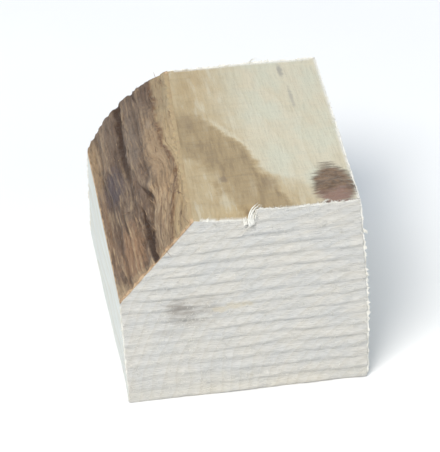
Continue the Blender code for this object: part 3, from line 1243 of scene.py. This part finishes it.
@dataclass
class BarkCrust:
    """The bark on the wane: a closed crust with furrows, ledges, a crack and a torn patch by the front.

    Shares s and v run across the wane from its foot to the top face, and along the grain.
    """

    form: ChunkForm = ChunkForm()
    wood: ChunkForm = BARE_WOOD
    across: int = 150
    along: int = 255
    flat_width: float = 23.0
    depths: tuple[float, ...] = (-0.9, 0.0, 0.35, 0.7, 1.0)
    sunk: float = 0.7 * MM
    thinnest: float = 0.15 * MM
    overhang: float = 0.18 * MM
    furrows: tuple[Furrow, ...] = (
        Furrow(0.15, 0.18, 0.4, 0.4, 0.030),
        Furrow(0.46, 0.43, 1.15, 0.3, 0.036),
        Furrow(0.66, 0.55, 0.35, 0.5, 0.030),
        Furrow(0.93, 0.95, 0.2, 0.3, 0.030),
    )
    fissure: Fissure = Fissure()
    bulge: float = 0.10
    border: float = 0.85
    ledge_height: float = 0.60
    ledges: float = 7.0
    strand_height: float = 0.24
    plate_height: float = 0.45
    shed_depth: float = 0.5
    shed_length: float = 0.36
    shed_from: float = 0.56
    cambium_depth: float = 0.35
    crumble: float = 0.45

    def flat(self, s: Array, v: Array) -> Array:
        """The bark laid flat, as points in metres, for reading noise."""
        return np.stack([s * self.flat_width * MM, v * self.form.length, np.zeros(len(s))], 1)

    def grain(self, s: Array, v: Array) -> Array:
        """The shares across, shifted so that the grain and the border bulge towards the top face.

        Args:
            s: shares across the wane.
            v: shares along the grain.

        Returns:
            The shifted shares, in which the grain runs straight.
        """
        bulge = self.bulge * hump(v, 0.40, 0.15)
        bulge -= 0.9 * self.bulge * (1 - smoothstep(0.03, 0.26, v))
        return s - bulge * smoothstep(0.45, 0.85, s)

    def cut(self, s: Array, v: Array, flat: Array) -> Array:
        """The furrows, and the deep crack by the front.

        Args:
            s: shares across the wane.
            v: shares along the grain.
            flat: the same places on the flat bark.

        Returns:
            Their depth, in mm.
        """
        depth = np.zeros(len(s))
        torn = 1 + 0.55 * sampled(flat, (0.9 * MM, 3 * MM, 1), 63.0, rough)
        for furrow in self.furrows:
            middle = furrow.front + (furrow.back - furrow.front) * v
            middle += 0.03 * sampled(flat, 7 * MM, furrow.back)
            middle += 0.010 * sampled(flat, 1.8 * MM, furrow.back + 5)
            deeper = furrow.back_depth - furrow.front_depth
            deep = furrow.front_depth + deeper * smoothstep(0.42, 0.8, v)
            depth += deep * hump(s, middle, furrow.half_width * torn)
        fissure = self.fissure
        middle = fissure.middle - 0.03 * v + 0.014 * sampled(flat, 2.5 * MM, 61.0)
        middle += 0.008 * sampled(flat, 0.8 * MM, 62.0)
        narrowing = np.clip(smoothstep(fissure.end, fissure.end - 0.25, v), 0.02, 1)
        crack = fissure.depth * hump(s, middle, fissure.half_width * narrowing * torn)
        return depth + crack * (1 - smoothstep(fissure.end - 0.15, fissure.end + 0.02, v))

    def layers(self, s: Array, v: Array, flat: Array) -> tuple[Array, Array, Array]:
        """The thin layers of the bark, which end in long, slanting ledges.

        Args:
            s: shares across the wane.
            v: shares along the grain.
            flat: the same places on the flat bark.

        Returns:
            The height in mm, where a ledge's foot is and where its lip is.
        """
        slant = -0.08 + 0.34 * smoothstep(0.35, 0.85, s) * (1 - 0.8 * smoothstep(0.30, 0.75, v))
        level = self.ledges * (s - slant * v)
        wavy = 0.6 * sampled(flat, (5 * MM, 21 * MM, 1), 71.0)
        wavy += 0.11 * sampled(flat, (1.2 * MM, 7 * MM, 1), 73.0)
        level += wavy
        turn = level - np.floor(level)
        strong = 0.35 + 0.65 * smoothstep(-0.2, 0.35, sampled(flat, (4 * MM, 9 * MM, 1), 79.0))
        height = (smoothstep(0.0, 0.14, turn) - turn) * self.ledge_height * strong
        return height, hump(turn, 0.03, 0.035) * strong, hump(turn, 0.18, 0.09) * strong

    def relief(self, s: Array, v: Array) -> dict[str, Array]:
        """The bark's surface.

        Args:
            s: shares across the wane.
            v: shares along the grain.

        Returns:
            Its height in mm and the masks that its finish reads.
        """
        grain = self.grain(s, v)
        flat = self.flat(grain, v)
        furrow = self.cut(grain, v, flat)
        frayed = v + 0.08 * sampled(flat, (2 * MM, 6 * MM, 1), 8.0, rough)
        shed = 1 - smoothstep(self.shed_length - 0.05, self.shed_length, frayed)
        frayed = grain + 0.03 * sampled(flat, 4 * MM, 9.0, rough)
        shed *= smoothstep(self.shed_from, self.shed_from + 0.04, frayed)
        edge = self.border + 0.03 * sampled(flat, 6 * MM, 83.0)
        edge += 0.03 * sampled(flat, (1 * MM, 2.5 * MM, 1), 87.0)
        cambium = smoothstep(edge, edge + 0.03, grain)
        ledge, foot, lip = (layer * (1 - 0.75 * cambium) for layer in self.layers(grain, v, flat))
        strand = sampled(flat, (0.55 * MM, 8 * MM, 1), 17.0, rough)
        strand += 0.5 * sampled(flat, (0.25 * MM, 3 * MM, 1), 18.0)
        height = self.plate_height * sampled(flat, (4 * MM, 12 * MM, 1), 5.0) + ledge
        height += self.strand_height * strand
        height -= shed * self.shed_depth + self.cambium_depth * cambium
        to_side = np.minimum(s * self.flat_width, (1 - s) * self.flat_width)
        to_rim = np.minimum(to_side, np.minimum(v, 1 - v) * self.form.length / MM)
        crumbled = self.crumble * np.clip(0.4 + sampled(flat, 1.6 * MM, 19.0, rough), 0, 1)
        keep = smoothstep(0.0, 1.2, to_rim)
        height = height * (0.15 + 0.85 * keep) - crumbled * (1 - smoothstep(0.0, 0.9, to_rim))
        height -= furrow * (0.55 + 0.45 * keep)
        open_bark = 1 - np.maximum(shed, cambium)
        stringy = np.maximum(np.maximum(shed, 0.4 * cambium), 0.12 * open_bark) * keep
        # Where the finish paints shade: the furrows, the deep crack, and the foot of each ledge under its
        # lip.
        crack = np.clip(0.95 * furrow + 0.6 * foot * keep, 0, 1)
        return {"height": height, "crack": crack, "shed": shed, "cambium": cambium, "lip": lip * keep,
                "edge": hump(grain, edge, 0.022), "stringy": stringy}

    def build(self, materials: list[bpy.types.Material]) -> bpy.types.Object:
        """Makes the piece.

        Args:
            materials: the skin's and the section's materials.

        Returns:
            The bark, with the attributes that its finish reads.
        """
        steps, quads, sides = lattice_shell((self.across, self.along, len(self.depths) - 1))
        s, v = steps[:, 0] / self.across, steps[:, 1] / self.along
        depth = np.array(self.depths)[steps[:, 2]]
        masks = self.relief(s, v)
        normal = self.form.wane_normal(v)
        bed = self.wood.wane(s, v)
        base = self.form.wane(s, v)
        room = np.sum((base - bed) * normal, axis=1)
        height = np.maximum(masks["height"] * MM, self.thinnest - room)
        outer = base + normal * height[:, None]
        sunk = self.wood.wane(s, np.clip(v, 0.015, 0.985)) - normal * self.sunk
        points = np.where((depth < 0)[:, None], sunk, between(bed, outer, np.clip(depth, 0, 1)))
        overhang = np.where(v <= 0, -self.overhang, np.where(v >= 1, self.overhang, 0))
        points[:, 1] += np.where(depth >= 0, overhang, 0)
        piece = new_piece("bark_crust", self.form.centred(points), quads)
        for material in materials:
            piece.data.materials.append(material)
        outside = sides == list(Side).index(Side.TOP)
        piece.data.polygons.foreach_set("material_index", np.where(outside, 0, 1).astype(np.int32))
        for name in ("crack", "shed", "cambium", "lip", "edge"):
            add_attribute(piece, name, masks[name])
        add_attribute(piece, "across", self.grain(s, v) * self.flat_width)
        add_attribute(piece, "along", v * self.form.length / MM)
        add_attribute(piece, "depth", depth)
        add_attribute(piece, "stringy", np.where(depth >= 1, masks["stringy"], 0.0))
        return piece


@dataclass(frozen=True)
class Growth:
    """A scatter of fibres: its name, the attribute that says where it grows, and the fibres' sizes."""

    name: str
    where: str
    per_mm2: float
    length: float
    width: float
    flatness: float
    curl: float
    lift: float
    lean_low: Place
    lean_high: Place
    seed: int
    segments: int


END_FUZZ = Growth(
    "end_fuzz", "fuzz", per_mm2=3.2, length=0.55 * MM, width=0.075 * MM, flatness=1.8, curl=0.5,
    lift=0.55, lean_low=(-1.0, -0.15, -0.7), lean_high=(1.0, 0.15, 0.25), seed=11, segments=2)
ARRIS_FRINGE = Growth(
    "arris_fringe", "arris", per_mm2=4.0, length=0.50 * MM, width=0.085 * MM, flatness=2.0, curl=0.4,
    lift=1.2, lean_low=(-0.7, -0.7, -0.7), lean_high=(0.7, 0.7, 0.7), seed=23, segments=2)
BARK_STRANDS = Growth(
    "bark_strands", "stringy", per_mm2=0.45, length=3.6 * MM, width=0.14 * MM, flatness=1.8, curl=0.02,
    lift=0.035, lean_low=(-0.07, -1.0, -0.07), lean_high=(0.07, 1.0, 0.07), seed=53, segments=5)


class Scatter(Wiring):
    """A Geometry Nodes tree that grows tapered, curled fibres from a surface."""

    def __init__(self, growth: Growth, material: bpy.types.Material) -> None:
        """Builds the tree.

        Args:
            growth: the sizes of the fibres.
            material: their material.
        """
        super().__init__(bpy.data.node_groups.new(f"{growth.name} rule", "GeometryNodeTree"))
        self.growth = growth
        self.values: dict[str, object] = {}
        self.start = self.add("NodeGroupInput")
        self.take("Geometry", "NodeSocketGeometry", None)
        inputs = {"Points": self.points(), "Instance": self.fibre()}
        fibres = self.add("GeometryNodeInstanceOnPoints", inputs)
        self.feed(fibres.inputs["Rotation"], self.lean())
        self.feed(fibres.inputs["Scale"], self.random("FLOAT", 0.35, 1.0, 5))
        spin = self.add("ShaderNodeCombineXYZ", {"Z": self.random("FLOAT", 0.0, math.tau, 7)})
        inputs = {"Instances": fibres.outputs[0], "Rotation": spin.outputs[0]}
        turned = self.add("GeometryNodeRotateInstances", inputs)
        real = self.add("GeometryNodeRealizeInstances", {0: turned.outputs[0]})
        chosen = self.take("Material", "NodeSocketMaterial", material)
        dressed = self.add("GeometryNodeSetMaterial", {"Geometry": real.outputs[0], "Material": chosen})
        self.tree.interface.new_socket("Geometry", in_out="OUTPUT", socket_type="NodeSocketGeometry")
        self.add("NodeGroupOutput", {0: dressed.outputs[0]})

    def take(self, name: str, kind: str, value: object) -> Socket:
        """Adds a named input to the tree.

        Args:
            name: the input's name.
            kind: its socket type.
            value: what the modifier sets it to.

        Returns:
            The socket to wire it from.
        """
        entry = self.tree.interface.new_socket(name, in_out="INPUT", socket_type=kind)
        if value is not None:
            self.values[entry.identifier] = value
        return self.start.outputs[name]

    def random(self, kind: str, low: object, high: object, offset: int) -> Socket:
        """A random value for each point, from the tree's fixed seed.

        Args:
            kind: the value's type.
            low: the lowest value.
            high: the highest value.
            offset: what is added to the seed.

        Returns:
            The socket with the value.
        """
        node = self.add("FunctionNodeRandomValue", data_type=kind)
        first, output = (0, 0) if kind == "FLOAT_VECTOR" else (2, 1)
        self.feed(node.inputs[first], low)
        self.feed(node.inputs[first + 1], high)
        node.inputs["Seed"].default_value = self.growth.seed + offset
        return node.outputs[output]

    def points(self) -> Socket:
        """Strews points over the surface, as thickly as its attribute says.

        Returns:
            The socket with the points.
        """
        density = self.take("Fibres per square metre", "NodeSocketFloat", self.growth.per_mm2 / MM ** 2)
        mask = self.add("GeometryNodeInputNamedAttribute", {"Name": self.growth.where}, data_type="FLOAT")
        self.strewn = self.add("GeometryNodeDistributePointsOnFaces", {
            "Mesh": self.start.outputs["Geometry"], "Density": self.times(density, mask.outputs[0]),
            "Seed": self.growth.seed})
        return self.strewn.outputs["Points"]

    def lean(self) -> Socket:
        """The direction of each fibre: off the surface, and leaning at random.

        Returns:
            The socket with the rotation.
        """
        lift = self.take("Lift", "NodeSocketFloat", self.growth.lift)
        inputs = {0: self.strewn.outputs["Normal"], "Scale": lift}
        up = self.add("ShaderNodeVectorMath", inputs, operation="SCALE")
        aside = self.random("FLOAT_VECTOR", self.growth.lean_low, self.growth.lean_high, 3)
        way = self.add("ShaderNodeVectorMath", {0: up.outputs[0], 1: aside}, operation="ADD")
        turned = self.add("FunctionNodeAlignRotationToVector", {"Vector": way.outputs[0]}, axis="Z")
        return turned.outputs[0]

    def fibre(self) -> Socket:
        """One tapered fibre that stands on its root and curls over.

        Returns:
            The socket with its mesh.
        """
        length = self.take("Fibre length", "NodeSocketFloat", self.growth.length)
        width = self.take("Fibre width", "NodeSocketFloat", self.growth.width)
        curl = self.take("Curl", "NodeSocketFloat", self.growth.curl)
        flatness = self.take("Flatness", "NodeSocketFloat", self.growth.flatness)
        top = self.add("ShaderNodeCombineXYZ", {"Z": length}).outputs[0]
        line = self.add("GeometryNodeCurvePrimitiveLine", {"End": top}).outputs[0]
        inputs = {"Curve": line, "Count": self.growth.segments + 1}
        line = self.add("GeometryNodeResampleCurve", inputs).outputs[0]
        along = self.add("GeometryNodeSplineParameter").outputs["Factor"]
        bend = self.times(self.times(curl, length), self.math("POWER", along, 2.0))
        offset = self.add("ShaderNodeCombineXYZ", {"X": bend}).outputs[0]
        moved = self.add("GeometryNodeSetPosition", {"Geometry": line, "Offset": offset})
        taper = self.less(1.0, self.times(self.math("POWER", along, 1.5), 0.85))
        thick = self.add("GeometryNodeSetCurveRadius", {"Curve": moved.outputs[0], "Radius": taper})
        inputs = {"Resolution": 3, "Radius": self.math("DIVIDE", width, 2.0)}
        ring = self.add("GeometryNodeCurvePrimitiveCircle", inputs)
        scale = self.add("ShaderNodeCombineXYZ", {"X": flatness, "Y": 1.0, "Z": 1.0}).outputs[0]
        flat = self.add("GeometryNodeTransform", {"Geometry": ring.outputs[0], "Scale": scale})
        body = self.add("GeometryNodeCurveToMesh", {
            "Curve": thick.outputs[0], "Profile Curve": flat.outputs[0], "Fill Caps": True})
        if "Scale" in body.inputs:
            self.feed(body.inputs["Scale"], self.add("GeometryNodeInputRadius").outputs[0])
        return body.outputs[0]

    def grow(self, surface: bpy.types.Object) -> bpy.types.Object:
        """Runs the tree on a surface.

        Args:
            surface: the piece that the fibres grow from.

        Returns:
            The fibres as one plain mesh.
        """
        carrier = bpy.data.objects.new(self.growth.name + "_carrier", surface.data)
        bpy.context.scene.collection.objects.link(carrier)
        modifier = carrier.modifiers.new(self.growth.name, "NODES")
        modifier.node_group = self.tree
        for identifier, value in self.values.items():
            modifier[identifier] = value
        graph = bpy.context.evaluated_depsgraph_get()
        mesh = bpy.data.meshes.new_from_object(carrier.evaluated_get(graph), depsgraph=graph)
        carrier.modifiers.remove(modifier)
        bpy.data.objects.remove(carrier)
        mesh.name = self.growth.name
        for old in list(mesh.attributes):
            if old.name in ("groove", "arris", "fuzz"):
                mesh.attributes.remove(old)
        piece = bpy.data.objects.new(self.growth.name, mesh)
        bpy.context.scene.collection.objects.link(piece)
        return piece


@dataclass(frozen=True)
class Arris:
    """A stretch of arris with a ragged burr.

    Its ends are shares (u, v, w) of the block, and lean is the way that the burr stands.
    """

    start: Place
    end: Place
    lean: Place
    height: float
    seed: float


@dataclass
class Burrs:
    """The thin ragged burrs that the saw left along the arrises."""

    form: ChunkForm = BARE_WOOD
    block: SawnBlock = field(default_factory=SawnBlock)
    step: float = 0.10 * MM
    thickness: float = 0.14 * MM
    root: float = 0.45 * MM
    tip: float = 0.12
    stretches: tuple[Arris, ...] = (
        Arris((0.36, 0, 1), (1, 0, 1), (0.0, -0.35, 1.0), 0.55 * MM, 1.0),
        Arris((1, 0, 0.02), (1, 0, 1), (1.0, -0.25, 0.0), 0.50 * MM, 2.0),
        Arris((0.0, 1, 1), (1, 1, 1), (0.0, 0.5, 0.9), 0.50 * MM, 3.0),
        Arris((1, 1, 0.02), (1, 1, 1), (0.9, 0.5, 0.0), 0.35 * MM, 4.0),
        Arris((0, 0, 0.02), (0, 0, 0.55), (-0.9, -0.4, 0.0), 0.28 * MM, 5.0),
        Arris((0, 1, 0.02), (0, 1, 0.55), (-0.9, 0.5, 0.0), 0.35 * MM, 6.0),
        Arris((1, 0.01, 1), (1, 0.99, 1), (0.8, 0.0, 0.6), 0.22 * MM, 7.0),
    )

    def heights(self, arris: Arris, path: Array, t: Array) -> Array:
        """How far a burr stands out along its path.

        Args:
            arris: the stretch that it follows.
            path: its points.
            t: their shares of its length.

        Returns:
            The height at each point, which falls to nothing at both ends.
        """
        ragged = 0.40 + 0.7 * sampled(path, 0.9 * MM, arris.seed, rough)
        ragged += 0.5 * sampled(path, 5 * MM, arris.seed + 9)
        ragged += 0.8 * sampled(path, 0.22 * MM, arris.seed + 3)
        fading = np.sin(np.pi * np.clip(t, 0.004, 0.996)) ** 0.25
        return arris.height * np.clip(ragged, 0.02, 1.3) * fading

    def ribbon(self, arris: Arris) -> tuple[Array, list[list[int]]]:
        """One burr as a closed ribbon.

        Args:
            arris: the stretch that it follows.

        Returns:
            Its points and its faces.
        """
        ends = np.array((arris.start, arris.end), float)
        span = self.form.point(*ends.T)
        count = int(np.linalg.norm(span[1] - span[0]) / self.step)
        t = np.linspace(0, 1, count + 1)
        shares = between(ends[:1], ends[1:], t)
        path = self.form.point(*shares.T)
        if arris.start[2] == 1:
            path[:, 2] += self.block.top_relief(shares, path)
        lean = np.array(arris.lean) / np.linalg.norm(arris.lean)
        side = np.cross(lean, (path[-1] - path[0]) / np.linalg.norm(path[-1] - path[0]))
        height = self.heights(arris, path, t)
        sway = 0.35 * height * sampled(path, 1.1 * MM, arris.seed + 5)
        low = path - lean * self.root
        high = path + lean * height[:, None] + side * sway[:, None]
        half = side * self.thickness / 2
        rings = np.stack([low - half, low + half, high + half * self.tip, high - half * self.tip], 1)
        return rings.reshape(-1, 3), tube_faces(count + 1, 4)

    def build(self, material: bpy.types.Material) -> bpy.types.Object:
        """All the burrs as one piece in the given material."""
        ribbons = [self.ribbon(arris) for arris in self.stretches]
        return joined_piece("arris_burrs", ribbons, self.form, material, smooth=False)


@dataclass(frozen=True)
class Splinter:
    """One torn splinter: its course, width and thickness in mm, and the way that it is wide."""

    course: tuple[Place, ...]
    width: float
    thickness: float
    side: Place


@dataclass
class Splinters:
    """The few splinters that stand out by themselves, the curl on the front arris first.

    Each is a bundle of thin fibres that part towards its tip.
    """

    form: ChunkForm = ChunkForm()
    around: int = 6
    rings: int = 18
    fibre_width: float = 0.19
    # Each fibre of a bundle: how far aside it lies, how much of the course it follows, and its lift.
    bundle: Marks = ((-0.36, 0.80, 0.3), (-0.12, 1.00, -0.2), (0.10, 0.90, 0.5), (0.34, 0.72, -0.4),
                     (0.0, 0.62, 0.9))
    torn: tuple[Splinter, ...] = (
        Splinter(((1.5, -29.5, 41.0), (1.3, -29.4, 42.4), (1.6, -29.0, 43.5), (2.3, -28.4, 44.2),
                  (3.2, -27.9, 44.4), (3.9, -27.6, 44.1)), 1.5, 0.22, (1.0, 0.6, 0.0)),
        Splinter(((2.2, -29.2, 42.4), (2.7, -28.6, 43.4), (3.4, -27.9, 43.9), (4.2, -27.4, 43.9)),
                 0.8, 0.16, (0.6, 1.0, 0.0)),
        Splinter(((0.3, -29.4, 41.2), (0.2, -29.2, 42.2), (0.6, -28.7, 42.9)),
                 0.8, 0.16, (1.0, 0.3, 0.0)),
        Splinter(((-7.3, -28.9, 42.4), (-7.1, -28.6, 42.8), (-6.8, -28.2, 43.0)),
                 0.5, 0.14, (1.0, -0.3, 0.0)),
        Splinter(((15.4, -28.3, 43.2), (15.8, -28.1, 44.0), (16.8, -27.7, 44.3), (17.6, -27.3, 44.2)),
                 0.5, 0.14, (0.4, 1.0, 0.0)),
        Splinter(((19.4, -28.0, 43.4), (19.9, -28.2, 44.1), (20.3, -28.6, 44.3)),
                 0.6, 0.14, (1.0, 0.2, 0.0)),
        Splinter(((24.0, -28.2, 36.6), (24.7, -28.6, 36.3), (25.0, -28.8, 35.9)),
                 0.6, 0.14, (0.2, 0.3, 1.0)),
        Splinter(((24.6, -28.6, 26.2), (25.2, -28.9, 25.9), (25.5, -29.0, 25.5)),
                 0.7, 0.14, (0.2, 0.3, 1.0)),
        Splinter(((10.0, 28.6, 41.6), (10.4, 29.3, 42.5), (11.6, 29.9, 43.0), (12.8, 30.0, 42.7)),
                 0.8, 0.16, (0.2, 1.0, 0.0)),
        Splinter(((-21.5, 28.9, 6.0), (-22.6, 29.6, 5.6), (-23.8, 29.9, 4.8)),
                 0.9, 0.16, (0.2, 0.3, 1.0)),
    )

    def path(self, splinter: Splinter, t: Array) -> Array:
        """A splinter's course, with its corners smoothed.

        Args:
            splinter: the splinter.
            t: shares of its course.

        Returns:
            The point at each share, in metres.
        """
        knots = np.array(splinter.course) * MM + np.array((*self.form.centre, 0.0))
        at = np.linspace(0, 1, len(knots))
        path = np.stack([np.interp(t, at, knots[:, axis]) for axis in range(3)], 1)
        for _ in range(3):
            path[1:-1] = (path[:-2] + 2 * path[1:-1] + path[2:]) / 4
        return path

    def sweep(self, splinter: Splinter, aside: float, reach: float,
              lift: float) -> tuple[Array, list[list[int]]]:
        """One fibre of a splinter, as a flat tapered tube.

        Args:
            splinter: the whole splinter's course and sizes.
            aside: how far the fibre lies from its middle, as a share of its width.
            reach: how much of the course the fibre follows.
            lift: how far it parts from the rest at its tip, as a share of the width.

        Returns:
            Its points and its faces.
        """
        t = np.linspace(0, 1, self.rings)
        path = self.path(splinter, t * reach)
        tangent = np.gradient(path, axis=0)
        tangent /= np.linalg.norm(tangent, axis=1)[:, None]
        side = np.array(splinter.side) / np.linalg.norm(splinter.side)
        side = side - tangent * (tangent @ side)[:, None]
        side /= np.linalg.norm(side, axis=1)[:, None]
        up = np.cross(tangent, side)
        width = splinter.width * MM
        wavy = 0.10 * sampled(path, 0.7 * MM, 3 + aside) + lift * 0.5 * t ** 2
        path = path + side * (aside * width * (1 + 0.5 * t ** 2))[:, None] + up * (wavy * width)[:, None]
        taper = np.clip(1.0 - t ** 2.0, 0.05, 1) * (1 + 0.3 * sampled(path, 0.5 * MM, splinter.width))
        turn = np.linspace(0, math.tau, self.around, endpoint=False)
        wide = np.cos(turn)[None, :, None] * side[:, None] * width * self.fibre_width
        thick = np.sin(turn)[None, :, None] * up[:, None] * splinter.thickness / 2 * MM
        rings = path[:, None] + (wide + thick) * taper[:, None, None]
        return rings.reshape(-1, 3), tube_faces(self.rings, self.around)

    def build(self, material: bpy.types.Material) -> bpy.types.Object:
        """All the splinters as one piece in the given material."""
        fibres = [self.sweep(splinter, *fibre) for splinter in self.torn for fibre in self.bundle]
        return joined_piece("splinters", fibres, self.form, material)


@dataclass(frozen=True)
class Lamp:
    """One square soft light that faces the chunk, with its power in watts."""

    name: str
    place: Place
    size: float
    power: float
    colour: Colour


@dataclass
class Studio:
    """A plain pale floor, soft light and the photograph's camera."""

    floor_size: float = 1.6
    floor_colour: Colour = (0.90, 0.90, 0.905)
    floor_shade: float = 0.985
    camera_place: Place = (-57.1 * MM, -393.3 * MM, 300.9 * MM)
    look_at: Place = (-0.6 * MM, 0.0, 20.6 * MM)
    roll: float = -0.56
    lens: float = 183.0
    sensor: float = 36.0
    sky: Colour = (0.72, 0.86, 1.0)
    sky_strength: float = 0.38
    lamps: tuple[Lamp, ...] = (
        Lamp("key", (-0.34, -0.46, 0.76), 0.42, 8.4, (1.0, 0.965, 0.915)),
        Lamp("fill", (0.55, -0.60, 0.40), 0.6, 1.3, (0.97, 0.985, 1.0)),
        Lamp("rim", (0.15, 0.60, 0.55), 0.5, 1.6, (0.97, 0.985, 1.0)),
    )

    def floor(self) -> bpy.types.Object:
        """Makes the floor that the chunk lies on.

        Returns:
            The floor.
        """
        half = self.floor_size / 2
        corners = np.array([(-half, -half, 0), (half, -half, 0), (half, half, 0), (-half, half, 0)])
        floor = new_piece("floor", corners, [[0, 1, 2, 3]], smooth=False)
        sh = Shading("pale floor", 0.9)
        faint = sh.step(sh.noise((0.02, 0.02, 0.02), 1.0, 2.0), 0.3, 0.7)
        shade = tuple(channel * self.floor_shade for channel in self.floor_colour)
        floor.data.materials.append(sh.finish(sh.mix(faint, shade, self.floor_colour), []))
        return floor

    def light(self, lamp: Lamp) -> None:
        """Hangs one light.

        Args:
            lamp: the light.
        """
        data = bpy.data.lights.new(lamp.name, "AREA")
        data.shape = "SQUARE"
        data.size = lamp.size
        data.energy = lamp.power
        data.color = lamp.colour
        light = bpy.data.objects.new(lamp.name, data)
        light.location = lamp.place
        light.rotation_euler = (-Vector(lamp.place)).to_track_quat("-Z", "Y").to_euler()
        bpy.context.scene.collection.objects.link(light)

    def camera(self) -> None:
        """The camera, at the photograph's viewing angle."""
        data = bpy.data.cameras.new("camera")
        data.lens = self.lens
        data.sensor_width = self.sensor
        data.clip_start = 0.01
        camera = bpy.data.objects.new("camera", data)
        camera.location = self.camera_place
        way = (Vector(self.look_at) - Vector(self.camera_place)).to_track_quat("-Z", "Y")
        camera.rotation_euler = (way @ Euler((0, 0, math.radians(self.roll))).to_quaternion()).to_euler()
        bpy.context.scene.collection.objects.link(camera)
        bpy.context.scene.camera = camera

    def world(self) -> None:
        """Even light from all round."""
        world = bpy.data.worlds.new("soft light")
        world.use_nodes = True
        background = world.node_tree.nodes["Background"]
        background.inputs["Color"].default_value = (*self.sky, 1.0)
        background.inputs["Strength"].default_value = self.sky_strength
        bpy.context.scene.world = world

    def build(self) -> None:
        """Sets the whole studio up."""
        self.floor()
        self.world()
        for lamp in self.lamps:
            self.light(lamp)
        self.camera()
        view = bpy.context.scene.view_settings
        view.view_transform = "Standard"
        view.look = "None"


def settle(piece: bpy.types.Object, slot: str) -> None:
    """Makes a finished piece part of the chunk.

    Args:
        piece: the piece.
        slot: the record's material slot, which is only logged.
    """
    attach(piece, BODY)
    triangles = sum(len(face.vertices) - 2 for face in piece.data.polygons)
    log.info("%s: %d triangles, slot %s", piece.name, triangles, slot)


def main() -> None:
    """Builds the chunk's pieces in order, then the studio."""
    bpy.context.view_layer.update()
    pale_fibre = Fibre("pale fibre", (0.84, 0.82, 0.76), (0.72, 0.70, 0.63)).material()
    bark_fibre = Fibre("bark fibre", (0.44, 0.30, 0.18), (0.20, 0.13, 0.085), 0.1).material()
    wood = SawnBlock().build([EndGrain().material(), StainedTop().material(), SideGrain().material()])
    bark = BarkCrust().build([BarkSkin().material(), BarkSection().material()])
    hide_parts(NODE)
    settle(wood, "wood")
    settle(bark, "bark")
    settle(Scatter(END_FUZZ, pale_fibre).grow(wood), "wood")
    settle(Scatter(ARRIS_FRINGE, pale_fibre).grow(wood), "wood")
    settle(Scatter(BARK_STRANDS, bark_fibre).grow(bark), "bark")
    settle(Burrs().build(pale_fibre), "wood")
    settle(Splinters().build(pale_fibre), "wood")
    Studio().build()


if __name__ == "__main__":
    logging.basicConfig(level=logging.INFO, format="%(message)s")
    main()
